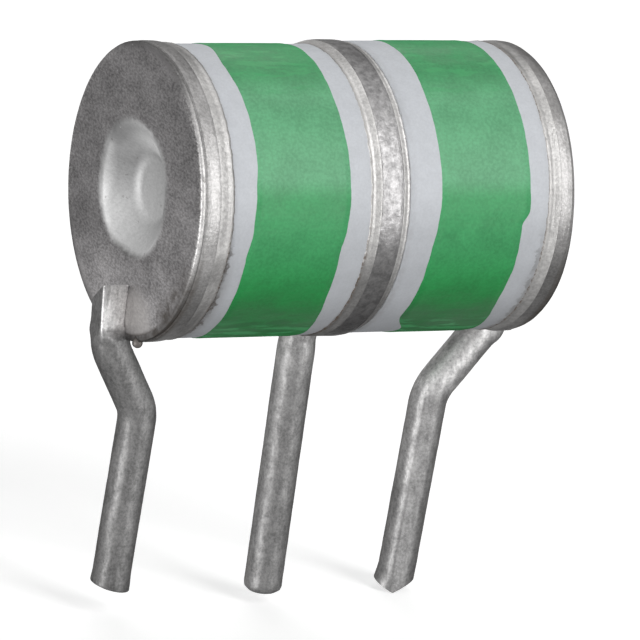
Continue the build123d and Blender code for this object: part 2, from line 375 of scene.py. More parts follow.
# Materials. Tones are laid on by place, many as painted light and shade, in millimetres: y is
# negative at the front, z is the height above the tube's axis and r the distance from it. Braze lies on
# both sides of halfway.
halfway = (3.0, 3.1)
squareness = 2.3


def end_face(shade, y, z):
    """Relief and colour of the dull speckled end face, with the noises that they come from."""
    speckle = shade.noise(15, 3, 0.7, stretch=(0.9, 0.5, 1.0))
    shade.bump(speckle, 0.006)
    shade.bump(shade.noise(3.5, 2, 0.5, seed=2.0), 0.010)
    mottle = shade.noise(1.6, 3, 0.6, stretch=(1, 0.5, 1), seed=4.0)
    level = plus(ramp(speckle, 0.32, 0.68, 0.70, 1.30), ramp(mottle, 0.3, 0.7, -0.16, 0.17))
    # Painted light: the face is lighter towards the bottom and in a band on its front side, and painted
    # shade darkens it a little low at the back
    lift = times(ramp(y, -1.2, -2.2, 0.0, 0.26), ramp(z, 1.8, 0.0), ramp(z, -2.5, -1.6))
    painted_side_shade = ramp(y, 1.2, 2.4, 1.0, ramp(z, -0.8, -1.6, 1.0, 0.84))
    rise = times(ramp(z, -3.0, -1.2, 1.72, 1.02), plus(lift, 1.0), painted_side_shade)
    return shaded((0.173, 0.168, 0.169), level, rise), speckle, level


def recess_painted_tone(y, z, depth, opening, speckle):
    """Colour of the recess, painted lighter than the face as painted light. Its wall and its floor
    carry painted light and shade from side to side and from top to bottom, with a painted highlight
    along one edge of the wall.
    """
    left_painted_shade = times(ramp(z, -1.2, 0.3), ramp(y, -0.2, 1.2, 0.0, -0.18))
    right_painted_light = times(ramp(z, 0.2, 1.2), ramp(y, 0.0, -0.8, 0.0, 0.14))
    upper = times(ramp(y, 1.7, -0.1, 0.62, 1.42), ramp(y, -0.4, -1.5, 1.0, 0.75))
    wall = times(
        plus(left_painted_shade, right_painted_light, 1.0),
        within(ramp(z, 0.5, 1.4), upper),
        ramp(z, -1.5, 0.1, 1.30, 0.68),
        ramp(z, 0.4, 1.4, 1.0, 1.34),
        ramp(y, 1.45, 1.75, 1.0, ramp(z, -1.3, -0.5, 0.96, 1.38)),
        ramp(z, 0.4, 0.9, 1.0, 1.22),
        ramp(opening, 1.30, 1.70, 1.0, ramp(z, 0.2, 1.0, 1.0, 0.76)),
        ramp(y, -0.3, -0.9, 1.0, ramp(z, 0.8, 1.2, 1.0, 0.80)),
        ramp(depth, 0.02, 0.16, 1.16, 1.0),
    )
    floor = times(ramp(z, -1.0, 1.0, 1.16, 0.92), ramp(y, -0.9, 0.9, 0.92, 1.15))
    tone = mix(ramp(depth, 0.50, 0.66), shaded((1, 1, 1), wall), shaded((1, 1, 1), floor))
    return shaded(tone, ramp(speckle, 0.3, 0.7, 0.34, 0.39))


def end_metal():
    """End electrode: dull speckled face, with the recess and the turned side painted brighter than it
    as painted light on one metal.
    """
    shade = Shade("end_electrode_metal")
    x, y, z, r = shade.axes("xyzr")
    depth = calc("SUBTRACT", face_x, calc("ABSOLUTE", x))
    face, speckle, level = end_face(shade, y, z)

    # opening is the distance from the recess's middle. The recess is a little squared.
    wide = times(y, ramp(y, -0.6, 0.6, 0.95, 0.90))
    high = times(calc("SUBTRACT", z, 0.065), 1.036)
    powers = (calc("POWER", calc("ABSOLUTE", value), squareness) for value in (wide, high))
    opening = calc("POWER", plus(*powers), 1 / squareness)
    mouth = ramp(plus(opening, swing(shade.noise(4, 3, 0.55), 0.17)), 1.74, 2.00)
    recess = calc("SUBTRACT", 1.0, mouth)

    # The turned side is bright, and the worn rim of the face blends into it. A painted highlight lies
    # at the face's corner, and painted shade makes the rim's bevel and the side darker low down and on
    # top.
    worn = ramp(plus(r, swing(speckle, 1.1)), 3.86, 4.10, 0.0, 0.7)
    side_zone = most(worn, ramp(depth, 0.004, 0.05))
    corner_height = times(ramp(z, -1.7, -0.5), ramp(z, 3.4, 2.4), ramp(z, 1.7, 0.9, 0.62, 0.95))
    corner = times(ramp(r, 3.97, 4.03), ramp(depth, 0.105, 0.055), corner_height)
    rim_painted_shade = times(ramp(z, -1.2, -2.9, 1.0, 0.45), ramp(z, 3.0, 3.75, 1.0, 0.60))
    rim_painted_shade = within(ramp(depth, 0.20, 0.13), rim_painted_shade)
    calm = times(plus(times(level, 0.6), 0.4), plus(corner, 1.0), rim_painted_shade)
    # Painted shade on the right electrode: darker below the middle, lighter again lower down
    painted_side_shade = times(ramp(z, 0.6, -0.3, 1.0, 0.68), ramp(z, -1.2, -2.0, 1.0, 1.35))
    # Painted light and shade by height: darker low down and on top, lighter again at the very bottom
    painted_shading = times(
        ramp(plus(z, ramp(x, -1.0, 1.0, 0.0, -0.5)), -2.4, -0.8, 0.48, 1.0),
        ramp(z, 3.1, 3.95, 1.0, 0.57),
        ramp(z, -2.6, -3.3, 1.0, 1.5),
        ramp(x, -1.0, 1.0, 1.0, painted_side_shade),
    )
    bright = shaded((0.262, 0.257, 0.254), calm, painted_shading)

    # Darker brown low at the front near the rim and in the groove behind the rim, and dull patches on
    # the right rim
    low_front_darkening = times(
        ramp(r, 3.20, 3.85),
        ramp(z, -0.6, -1.9),
        ramp(depth, 0.36, 0.20),
        ramp(y, 0.8, -1.6),
        ramp(shade.noise(3.0, 4, 0.7, seed=21.0), 0.34, 0.66, 0.15, 0.85),
    )
    behind_rim = times(ramp(depth, 0.09, 0.15), ramp(depth, 0.34, 0.24))
    seam = times(behind_rim, ramp(z, -0.3, -1.5), ramp(y, 0.8, -1.6, 0.0, 0.46))
    patches = ramp(shade.noise(1.3, 3, 0.6, seed=23.0), 0.44, 0.58, 0.0, 0.30)
    dull = times(patches, ramp(z, 1.3, 2.3), ramp(x, 5.2, 5.3), ramp(y, 0.0, -1.0))
    nick = ramp(shade.noise(3.2, 4, 0.75, seed=9.0), 0.30, 0.36, 0.50, 0.0)
    cells = shade.pattern("ShaderNodeTexVoronoi", shade.place, Scale=2.1)["Distance"]
    colour = layered(
        mix(side_zone, face, bright),
        (most(low_front_darkening, seam), (0.072, 0.064, 0.057)),
        (dull, (0.13, 0.125, 0.12)),
        (recess, recess_painted_tone(y, z, depth, opening, speckle)),
        (nick, (0.06, 0.055, 0.05)),
        (ramp(cells, 0.0, 0.06, 0.50, 0.0), (0.6, 0.6, 0.6)),
    )
    roughness = mix(side_zone, (0.52,) * 3, (0.40,) * 3)
    return shade.finish(colour, mix(recess, roughness, (0.62,) * 3))


def ring_metal():
    """Centre electrode: bright, with a leathery mottle and painted light and shade by height."""
    shade = Shade("centre_electrode_metal")
    [z] = shade.axes("z")
    cell = shade.noise(5.0, 4, 0.62)
    fine = shade.noise(16, 2, 0.6, seed=3.0)
    level = plus(ramp(cell, 0.32, 0.68, 0.77, 1.19), ramp(fine, 0.3, 0.7, -0.10, 0.10))
    # Painted shade darkens the ring low down and on top, and a painted highlight lightens a band high
    # up
    painted_shading = times(
        ramp(z, -2.4, 0.3, 0.38, 1.0),
        ramp(z, 3.0, 4.1, 1.0, 0.58),
        ramp(z, 0.1, -0.5, 1.0, 0.80),
        ramp(z, -1.2, -1.8, 1.0, 1.33),
        plus(times(ramp(z, 2.2, 2.7), ramp(z, 3.4, 3.0, 0.0, 0.22)), 1.0),
    )
    colour = shaded((0.235, 0.231, 0.231), level, painted_shading)
    shade.bump(cell, 0.016)
    shade.bump(fine, 0.005)
    return shade.finish(colour, ramp(cell, 0.3, 0.7, 0.46, 0.34))


def braze_metal():
    """Braze: grainy and bright, browned and specked where it meets the ceramic."""
    shade = Shade("braze_metal")
    x, z = shade.axes("xz")
    along = calc("ABSOLUTE", x)
    grain = shade.noise(11, 3, 0.7)
    coarse = shade.noise(3.0, 3, 0.6, seed=5.0)
    level = plus(ramp(grain, 0.3, 0.7, 0.84, 1.16), ramp(coarse, 0.3, 0.7, -0.08, 0.08))
    # Painted light and shade by height: the braze darkens towards the bottom and on top and is lighter
    # in a band above the middle
    dark_z = ramp(along, *halfway, ramp(x, -0.5, 0.5, -1.8, -2.6), -2.9)
    light_z = ramp(along, *halfway, -0.1, -0.5)
    left_end_tone = times(ramp(z, -0.4, -1.0, 1.0, 0.72), ramp(z, -1.25, -1.75, 1.0, 1.42))
    painted_shading = times(
        ramp(z, dark_z, light_z, ramp(x, *halfway, 0.42, 0.58), 1.0),
        ramp(z, 1.4, 2.8, 1.0, 1.22),
        ramp(z, 0.3, -0.6, 1.0, ramp(along, *halfway, 1.0, 1.28)),
        ramp(z, 3.5, 4.1, 1.0, 0.55),
        ramp(x, -3.1, -3.0, left_end_tone, 1.0),
    )
    colour = shaded((0.300, 0.295, 0.290), times(level, ramp(along, *halfway, 1.22, 1.0)), painted_shading)
    near_end = times(ramp(along, 4.84, 4.95, 1.0, 0.0), ramp(along, *halfway))
    near_ring = times(ramp(along, 0.56, 0.68), ramp(along, 1.0, 0.9))
    upper_right = times(ramp(z, 2.4, 3.2), ramp(x, *halfway))
    by_height = most(ramp(z, -1.0, 1.0, 1.0, 0.25), upper_right)
    speck = times(most(near_end, near_ring), by_height, ramp(grain, 0.42, 0.60))
    shade.bump(grain, 0.010)
    shade.bump(coarse, 0.008)
    return shade.finish(mix(speck, colour, (0.085, 0.065, 0.05)), 0.46)


def ceramic_body():
    """Alumina: matt bluish white, painted darker towards the bottom as painted shade, greyer beside the
    metal, with a dark crust low at the ends.
    """
    shade = Shade("ceramic_body")
    x, z = shade.axes("xz")
    along = calc("ABSOLUTE", x)
    mottle = shade.noise(2.2, 4, 0.6)
    fine = shade.noise(14, 2, 0.6, seed=6.0)
    level = plus(ramp(mottle, 0.3, 0.7, 0.97, 1.03), ramp(fine, 0.3, 0.7, -0.03, 0.03))
    # Painted shade: darker towards the bottom, most just below the middle
    painted_low_shade = times(ramp(z, 1.2, -0.4, 1.0, 0.84), ramp(z, -1.2, -2.2, 1.0, 1.16))
    white = shaded((0.695, 0.718, 0.755), times(level, ramp(z, -3.6, -0.4, 0.72, 1.0)), painted_low_shade)
    # Darker brown low beside the end metal, more on the left
    low_end_darkening = times(ramp(along, 4.42, 4.80), ramp(z, -0.3, -1.5), ramp(x, 1.0, -1.0, 0.35, 1.0), 0.35)
    ragged = plus(along, swing(shade.noise(5, 3, 0.65, seed=16.0), 0.55))
    crust = times(
        ramp(ragged, 4.70, 4.78),
        ramp(z, 0.2, -0.9, 0.0, 0.85),
        ramp(x, 1.0, -1.0, 0.5, 1.0),
        ramp(shade.noise(1.4, 2, 0.5, seed=18.0), 0.36, 0.56, 0.30, 1.0),
    )
    patchy = times(
        most(ramp(along, 4.68, 4.92), ramp(along, 0.80, 0.60)),
        ramp(z, -0.2, -2.2, 0.35, 0.8),
        ramp(shade.noise(4, 3, 0.6, seed=8.0), 0.35, 0.65, 0.3, 1.0),
        0.5,
    )
    freckle = ramp(shade.noise(7, 3, 0.7, seed=12.0), 0.70, 0.76, 0.0, 0.25)
    colour = layered(
        white,
        (low_end_darkening, (0.17, 0.155, 0.145)),
        (crust, (0.085, 0.072, 0.062)),
        (patchy, (0.30, 0.29, 0.29)),
        (freckle, (0.40, 0.40, 0.43)),
    )
    shade.bump(fine, 0.004)
    return shade.finish(colour, plus(0.58, shade.grazing(0.35)), metallic=0.0, specular=0.25)


def green_lacquer():
    """Marking lacquer: brushed on, semi-gloss, a little uneven in colour, with painted light and shade
    by height and painted reflections in streaks.
    """
    shade = Shade("green_lacquer")
    x, z = shade.axes("xz")
    cloud = shade.noise(1.1, 3, 0.55)
    fine = shade.noise(12, 2, 0.6, seed=3.0)
    level = plus(ramp(cloud, 0.3, 0.7, 0.92, 1.08), ramp(fine, 0.3, 0.7, -0.09, 0.09))
    # Painted shade: darker towards the bottom and a little on top
    depth = times(
        ramp(z, -3.3, -1.0, 0.50, 1.0),
        ramp(z, 3.3, 4.0, 1.0, 0.92),
        ramp(x, -0.5, 0.5, 1.0, ramp(z, -2.2, -2.9, 1.0, 0.82)),
    )
    # A lighter green above the middle is a painted sheen, and the darker greens on top and below the
    # middle are painted shade
    green = layered(
        (0.072, 0.380, 0.146),
        (ramp(z, 0.78, 1.50), (0.162, 0.474, 0.250)),
        (ramp(z, 3.2, 3.95), (0.045, 0.350, 0.120)),
        (ramp(z, 0.0, -2.4), (0.018, 0.320, 0.070)),
    )
    brushed = shade.noise(2.6, 3, 0.6, stretch=(0.35, 1, 1.6), seed=3.0)
    # Lighter streaks at the top and bottom are painted reflections; darker streaks lie low down
    low_sheen_streaks = times(ramp(z, -2.7, -3.3), ramp(brushed, 0.50, 0.60))
    top_sheen_streaks = times(ramp(z, 3.2, 3.7), ramp(brushed, 0.52, 0.60))
    colour = layered(
        shaded(green, times(level, depth)),
        (times(most(low_sheen_streaks, top_sheen_streaks), 0.5), (0.070, 0.46, 0.16)),
        (times(ramp(z, -2.2, -3.0), ramp(brushed, 0.49, 0.41), 0.7), (0.008, 0.12, 0.03)),
    )
    shade.bump(shade.noise(0.9, 2, 0.5, stretch=(1, 2.2, 2.2), seed=7.0), 0.025)
    shade.bump(fine, 0.003)
    roughness = plus(ramp(cloud, 0.3, 0.7, 0.27, 0.34), shade.grazing(0.7))
    return shade.finish(colour, roughness, metallic=0.0, specular=0.13)


def left_lead_tone(x, z):
    """Darker near its end, with a painted highlight along one side of its slanted run and painted shade
    along the other.
    """
    across = plus(times(x, 0.859), times(z, 0.512))
    painted_slant_light = times(ramp(across, -7.35, -7.10, 1.0, 1.32), ramp(across, -7.95, -7.65, 0.76, 1.0))
    end = times(ramp(z, -10.4, -9.4, 0.86, 1.0), ramp(z, -11.4, -11.1, 0.80, 1.0))
    return times(end, within(times(ramp(z, -6.3, -5.9), ramp(z, -4.1, -4.4)), painted_slant_light))


def middle_lead_tone(x, z):
    # Painted light and shade: lighter towards its top and along its left edge, darker along its right
    # side and low down
    return times(
        ramp(z, -5.7, -4.8, 1.0, 1.42),
        ramp(x, -0.54, -0.62, 1.0, 1.25),
        ramp(x, 0.10, 0.32, ramp(z, -9.6, -8.6, 0.90, 1.0), 0.90),
    )


def right_lead_tone(x, y, z):
    """Painted highlights and shade across its straight leg, and across its slanted run above."""
    across = calc("SUBTRACT", times(x, 0.795), times(z, 0.607))
    painted_slant_light = times(ramp(across, 6.98, 7.20, 1.62, 1.04), ramp(across, 7.25, 7.73, 1.0, 0.38))
    painted_slant_light = times(painted_slant_light, ramp(y, 0.10, 0.52, 1.0, 0.42))
    across = calc("SUBTRACT", x, times(z, 0.0445))
    leg = times(
        ramp(across, 4.57, 4.64, ramp(z, -9.4, -8.4, 0.82, 1.08), 1.35),
        ramp(across, 4.72, 4.86, 1.0, ramp(z, -9.4, -8.6, 0.66, 0.76)),
        ramp(across, 4.93, 5.08, 1.0, 0.76),
    )
    return ramp(ramp(z, -6.1, -5.7), 0.0, 1.0, leg, painted_slant_light)


def pressed_gleam(x, y, z):
    """Painted highlight: how much the part that the jaws pressed, and the shoulder below it, gleam at
    the front.
    """
    left_edge = times(ramp(x, -6.42, -6.50), ramp(z, -3.50, -2.90, 0.0, -0.52))
    right_edge = times(ramp(x, -6.16, -6.06), ramp(z, -2.95, -3.25, 0.0, 0.26))
    part = times(ramp(z, -3.92, -3.62), ramp(y, -0.50, -0.53), ramp(x, -5.0, -5.5))
    pressed = times(part, plus(left_edge, right_edge, 1.0), 3.2)
    ledge = times(ramp(z, -4.07, -3.93), ramp(z, -3.82, -3.90), ramp(x, -6.58, -6.40))
    shoulder = times(ledge, ramp(x, -5.0, -5.5), ramp(y, -0.40, -0.50), 0.75)
    return times(plus(pressed, 1.0), plus(shoulder, 1.0))


def lead_metal():
    """Tinned wire: dull grey, blotchy, with a faint lengthwise draw, and painted highlights and shade
    along and across each wire.
    """
    shade = Shade("lead_metal")
    x, y, z = shade.axes("xyz")
    blotch = shade.noise(3.6, 4, 0.72, stretch=(1, 1, 0.6))
    fine = shade.noise(13, 3, 0.7, seed=5.0)
    draw = shade.noise(9, 2, 0.5, stretch=(1, 1, 0.10), seed=2.0)
    left_lead = ramp(x, -2.0, -3.0)
    middle_lead = times(ramp(x, -2.0, -1.0), ramp(x, 2.0, 1.0))
    right_lead = ramp(x, 2.0, 3.0)
    # Painted highlight along the right lead's slanted run
    right_run_highlight = times(right_lead, ramp(z, -6.4, -5.6, 0.0, 1.25), ramp(z, -5.5, -4.6, 1.0, 0.80))
    # The lead tones below paint highlights and shade across each wire; the right lead is lighter
    # overall and the left one a little darker
    level = times(
        plus(
            ramp(blotch, 0.32, 0.68, 0.80, 1.20),
            ramp(fine, 0.3, 0.7, -0.20, 0.20),
            ramp(draw, 0.3, 0.7, -0.08, 0.08),
        ),
        plus(times(right_lead, 0.20), ramp(x, -4.0, -3.0, 0.90, 1.0)),
        plus(right_run_highlight, 1.0),
        within(right_lead, right_lead_tone(x, y, z)),
        within(left_lead, left_lead_tone(x, z)),
        within(middle_lead, middle_lead_tone(x, z)),
        pressed_gleam(x, y, z),
    )
    colour = layered(
        shaded((0.172, 0.170, 0.169), level),
        (ramp(shade.noise(6, 3, 0.7, seed=11.0), 0.66, 0.74, 0.0, 0.35), (0.06, 0.06, 0.06)),
        (ramp(shade.noise(9, 2, 0.6, seed=14.0), 0.30, 0.25, 0.0, 0.5), (0.07, 0.07, 0.07)),
    )
    shade.bump(blotch, 0.006)
    shade.bump(fine, 0.004)
    smoother = times(right_lead, ramp(z, -6.1, -5.7, 0.04, -0.06))
    return shade.finish(colour, calc("SUBTRACT", ramp(blotch, 0.3, 0.7, 0.54, 0.44), smoother))


def weld_metal():
    """Weld patch: smooth and lighter in its middle, like the end face at its edge."""
    shade = Shade("weld_metal")
    y, z, r = shade.axes("yzr")
    face, speckle, _ = end_face(shade, y, z)
    across = plus(y, 1.05)
    upward = times(plus(z, 3.30), 1.3)
    out = calc("SQRT", plus(times(across, across), times(upward, upward)))
    colour = layered(
        shaded((0.400, 0.385, 0.379), ramp(speckle, 0.3, 0.7, 0.90, 1.10)),
        (ramp(plus(out, swing(speckle, 0.5)), 0.50, 1.30), face),
        (ramp(r, 3.86, 3.98), (0.125, 0.115, 0.108)),
    )
    return shade.finish(colour, 0.52)


def inner_coat(name, tone, grain_size, tones, depth, roughness):
    """A plain grainy coat inside the tube."""
    shade = Shade(name)
    grain = shade.noise(*grain_size)
    shade.bump(grain, depth)
    colour = shaded(tone, ramp(grain, 0.3, 0.7, *tones))
    return shade.finish(colour, roughness, metallic=0.0)


materials = {
    "end": end_metal(),
    "ring": ring_metal(),
    "braze": braze_metal(),
    "ceramic": ceramic_body(),
    "green": green_lacquer(),
    "lead": lead_metal(),
    "weld": weld_metal(),
    "glass": inner_coat(
        "activation_compound", (0.74, 0.73, 0.68), (9, 3, 0.6), (0.92, 1.04), 0.010, 0.30,
    ),
    "graphite": inner_coat(
        "graphite_line", (0.045, 0.045, 0.05), (20, 3, 0.7), (0.7, 1.3), 0.006, 0.55,
    ),
}


# Camera: 150 mm from the tube's centre, rolled, aimed so that the tube sits high in the frame
azimuth, elevation, roll = math.radians(-29.6), math.radians(15.2), math.radians(7.85)
distance, focal_pixels, image_width = 150.0, 5430.0, 640
aim_right, aim_down = 2.6, -132.3
sensor_width = 36
back = Vector((
    math.sin(azimuth) * math.cos(elevation),
    -math.cos(azimuth) * math.cos(elevation),
    math.sin(elevation),
))
level_right = Vector((math.cos(azimuth), math.sin(azimuth), 0))
level_up = back.cross(level_right)
right = math.cos(roll) * level_right + math.sin(roll) * level_up
up = math.cos(roll) * level_up - math.sin(roll) * level_right
eye = body_centre + back * distance
aim = body_centre + (up * aim_down - right * aim_right) * distance / focal_pixels
view_back = (eye - aim).normalized()
view_right = up.cross(view_back).normalized()
view_up = view_back.cross(view_right)
camera_data = bpy.data.cameras.new("camera")
camera_data.sensor_width = sensor_width
camera_data.lens = sensor_width * focal_pixels / image_width
camera_data.clip_start = 0.01
camera = placed("camera", camera_data)
turn = Matrix((view_right, view_up, view_back)).transposed().to_4x4()
camera.matrix_world = Matrix.Translation(eye * MM) @ turn
bpy.context.scene.camera = camera


# End electrodes. The left rim has a fine groove, and the right rim is bevelled and worn.
rims = {
    "left": [
        (face_x, 4.088, 0.085), (5.720, 4.088, 0.015), (5.690, 4.054, 0.02), (5.650, 4.088, 0.03),
        (5.55, flange_radius, 0.08), (5.32, 4.095, 0.10), (flange_inner_x, 4.088, 0.01),
    ],
    "right": [
        (face_x, 3.68, 0.10), (5.70, 3.99, 0.08), (5.60, 4.050, 0.05),
        (5.45, 4.063, 0.05), (5.32, 4.063, 0.05), (flange_inner_x, 4.060, 0.01),
    ],
}


def left_uneven(x, r, angle):
    """Hand-finished edges: the rim's bevel and the recess's lip wander a little."""
    point = around(x, r, angle)
    edge = smoothstep(0.30, 0.0, abs(r - face_edge_radius)) * smoothstep(0.3, 0.0, abs(x - face_x))
    lip = smoothstep(0.25, 0.0, abs(r - recess_mouth_radius)) * smoothstep(0.2, 0.0, abs(x - face_x))
    face = 0.004 * rough(point, 1.5, 1) + 0.003 * rough(point, 5, 2)
    dx = min(face, 0.0) if x > face_x - 0.01 else face
    dr = -0.012 * edge * abs(rough(point, 3, 3)) + 0.014 * lip * rough(point, 3, 4)
    if r > face_edge_radius:
        dr = min(dr, 0) - 0.004 * abs(rough(point, 2.0, 27))
    return (dx if x > 5.3 and r < 4.0 else 0, dr)


def right_uneven(x, r, angle):
    """The same, and the rim's bevel narrows towards the bottom."""
    dx, dr = left_uneven(x, r, angle)
    low = smoothstep(0.45, -0.55, math.sin(angle)) * smoothstep(3.4, 3.68, r)
    bevel = 0.23 * smoothstep(5.50, 5.80, x) * smoothstep(4.09, 3.85, r)
    edge = 0.035 * smoothstep(5.30, 5.40, x) * smoothstep(3.95, 4.0, r)
    return dx, dr + low * (bevel + edge)


for side_name, uneven in (("left", left_uneven), ("right", right_uneven)):
    corners = [
        (recess_floor_x, 0, 0), (recess_floor_x, recess_floor_radius, 0.34),
        (face_x, recess_mouth_radius, 0.20), *rims[side_name],
        (flange_inner_x, locating_radius, 0.02), (locating_x, locating_radius, 0.02),
        (locating_x, pip_base_radius, 0.20), (pip_tip_x, pip_tip_radius, 0.15), (pip_tip_x, 0, 0),
    ]
    bm = turned(divided(rounded(corners), 0.16), sides[side_name], closed=False, uneven=uneven)
    node = f"end_electrode_{side_name}"
    piece(f"{node}_turned", bm, node, "end")


# Centre electrode


def ring_uneven(x, r, angle):
    point = around(x, r, angle)
    outer = smoothstep(4.0, 4.06, r)
    edge = outer * smoothstep(0.12, 0.01, min(rim_side_x - x, x + rim_left_x))
    dr = -0.010 * outer * abs(rough(point, 2.5, 5)) - 0.006 * edge * abs(rough(point, 6, 6))
    return 0.012 * edge * rough(point, 3, 7), dr


ring_line = rounded([
    (0, hub_bore_radius, 0), (-hub_x, hub_bore_radius, 0.18), (-hub_x, hub_radius, 0.03),
    (-rim_left_x, hub_radius, 0.02), (-rim_left_x, 4.094, 0.012), (-0.2, flange_radius, 0.1),
    (0.2, flange_radius, 0.1), (rim_side_x, 4.090, 0.012), (rim_side_x, hub_radius, 0.02),
    (hub_x, hub_radius, 0.03), (hub_x, hub_bore_radius, 0.18), (0, hub_bore_radius, 0),
])[:-1]
bm = turned(divided(ring_line, 0.10), 1, closed=True, uneven=ring_uneven)
piece("centre_electrode_ring", bm, "centre_electrode", "ring")


# Ceramic tubes
for side_name, side in sides.items():
    corners = [
        (ceramic_middle_x, ceramic_bore_radius, 0), (ceramic_inner_x + 0.15, ceramic_bore_radius, 0.03),
        (ceramic_inner_x, ceramic_mouth_radius, 0.03), (ceramic_inner_x, ceramic_end_radius, 0.02),
        (0.55, ceramic_radii[side_name], 0.10), (4.87, ceramic_radii[side_name], 0.10),
        (ceramic_outer_x, ceramic_end_radius, 0.02), (ceramic_outer_x, ceramic_mouth_radius, 0.03),
        (ceramic_outer_x - 0.15, ceramic_bore_radius, 0.03), (ceramic_middle_x, ceramic_bore_radius, 0),
    ]
    bm = turned(divided(rounded(corners)[:-1], 0.30), side, closed=True)
    node = f"ceramic_tube_{side_name}"
    piece(f"{node}_body", bm, node, "ceramic")


# Braze rings: a smooth run off the metal and a grainy bead where the braze ends on the ceramic


def braze_line(metal_x, reach_x, bead, top):
    """Closed profile, by share of the way from the metal face to the end on the ceramic."""
    rows = [
        (0.00, braze_inner_radius), (0.00, top - 0.006), (0.10, top - 0.008), (0.22, top - 0.018),
        (0.36, top - 0.030), (0.48, top - 0.040), (0.58, 4.040), (0.68, 4.036 + bead * 0.4),
        (0.80, 4.028 + bead), (0.89, 4.020 + bead * 0.7), (0.96, 4.008 + bead * 0.3),
        (1.00, 3.994), (0.75, 3.93), (0.20, braze_inner_radius),
    ]
    return [(metal_x - share * (metal_x - reach_x), r) for share, r in rows]


def braze_uneven(metal_x, reach_x):
    def uneven(x, r, angle):
        if r < 3.96:
            return 0, 0
        point = around(x, r, angle)
        end = smoothstep(0.55, 0.9, (metal_x - x) / (metal_x - reach_x))
        grain = rough(point, 8, 8) * 0.5 + rough(point, 17, 9) * 0.5
        dx = 0.022 * end * rough(point, 4, 11) + 0.014 * end * rough(point, 14, 12)
        dr = 0.003 * rough(point, 3, 10) + 0.014 * end * grain
        return dx, min(dr, 4.095 - r)
    return uneven


# Name, metal face, end on the ceramic, height of the bead and radius of the metal beside it
braze_rings = {
    "left": [
        ("end_braze_ring", flange_inner_x, 4.80, 0.026, 4.088),
        ("centre_braze_ring", rim_left_x, 0.68, 0.018, 4.092),
    ],
    "right": [
        ("end_braze_ring", flange_inner_x, 4.80, 0.026, 4.066),
        ("centre_braze_ring", rim_side_x, 0.53, 0.018, 4.092),
    ],
}
for side_name, side in sides.items():
    for name, metal_x, reach_x, bead_height, top in braze_rings[side_name]:
        line = braze_line(metal_x, reach_x, bead_height, top)
        bm = turned(line, side, True, braze_uneven(metal_x, reach_x), braze_segments)
        piece(f"{name}_{side_name}_bead", bm, f"{name}_{side_name}", "braze")


# Green bands: their wavy edges as distances from the middle of the tube, by angle up from the front
band_edges = {
    "left": {
        "outer": [
            (95, 3.97), (74, 4.17), (49, 4.11), (32, 4.08), (17, 4.14), (3, 4.18), (-11, 4.27),
            (-45, 4.22), (-75, 4.12), (-120, 4.20), (-165, 4.28), (150, 4.16), (122, 4.05),
        ],
        "inner": [
            (95, 1.26), (76, 1.30), (58, 1.34), (43, 1.33), (29, 1.30), (14, 1.29), (2, 1.34),
            (-7, 1.44), (-23, 1.41), (-71, 1.04), (-110, 1.20), (-160, 1.33), (140, 1.30),
        ],
    },
    "right": {
        "outer": [
            (73, 4.27), (55, 4.26), (36, 4.26), (19, 4.27), (7, 4.29), (1, 4.09), (-14, 4.12),
            (-31, 4.09), (-62, 4.34), (-100, 4.22), (-150, 4.15), (160, 4.26), (115, 4.35),
        ],
        "inner": [
            (76, 1.52), (48, 1.46), (25, 1.49), (14, 1.50), (1, 1.45), (-8, 1.37), (-24, 1.37),
            (-44, 1.36), (-62, 1.92), (-100, 1.60), (-150, 1.45), (160, 1.58), (115, 1.62),
        ],
    },
}
band_columns = 40
inner_step = 8


def between(table, angle):
    """Value at an angle of 0 to 360 degrees, from a table of (angle, value) all the way round."""
    points = sorted((at + turn, value) for at, value in table for turn in (-360, 0, 360))
    for (a0, v0), (a1, v1) in zip(points[:-1], points[1:]):
        if a0 <= angle <= a1:
            return v0 + (v1 - v0) * smoothstep(a0, a1, angle)


def band_edge(side_name, edge, angle, seed):
    point = around(0, ceramic_radii[side_name], angle)
    wave = 0.018 * rough(point, 2.2, seed + sides[side_name]) + 0.006 * rough(point, 8, seed + 2)
    return between(band_edges[side_name][edge], math.degrees(angle)) + wave


def coat_height(from_edge, point):
    """Height of the lacquer above the ceramic: a thin edge, a slight roll beside it, then level."""
    rise = 0.018 * smoothstep(-0.04, 0.20, from_edge)
    roll_over = 0.003 * smoothstep(0.05, 0.16, from_edge) * smoothstep(0.36, 0.18, from_edge)
    drift = 0.004 * rough(point, 0.8, 13) + 0.001 * rough(point, 4, 14)
    return rise + roll_over + drift * smoothstep(0.0, 0.2, from_edge)


for side_name, side in sides.items():
    radius = ceramic_radii[side_name]
    reaches = [
        (angle, band_edge(side_name, "inner", angle, 15), band_edge(side_name, "outer", angle, 19))
        for angle in turns(band_segments)
    ]
    bm = bmesh.new()
    outer_loops, inner_loops = [], []
    for column in range(band_columns + 1):
        share = column / band_columns
        eased = share - 0.14 * math.sin(2 * math.pi * share)
        outer, inner = [], []
        for angle, low, high in reaches:
            x = low + (high - low) * eased
            height = coat_height(min(x - low, high - x), around(side * x, radius, angle))
            outer.append(bm.verts.new(around(side * x, radius + height, angle)))
            if column % inner_step == 0:
                inner.append(bm.verts.new(around(side * x, radius - 0.004, angle)))
        outer_loops.append(outer)
        if inner:
            inner_loops.append(inner)
    skinned(bm, outer_loops + inner_loops[::-1], closed=True)
    node = f"marking_band_{side_name}"
    piece(f"{node}_lacquer", bm, node, "green")


# Leads


def straight(start, end):
    """Points and directions along a straight run."""
    run = end - start
    steps = max(1, round(run.length / 0.09))
    return [(start + run * step / steps, run.normalized()) for step in range(steps + 1)]


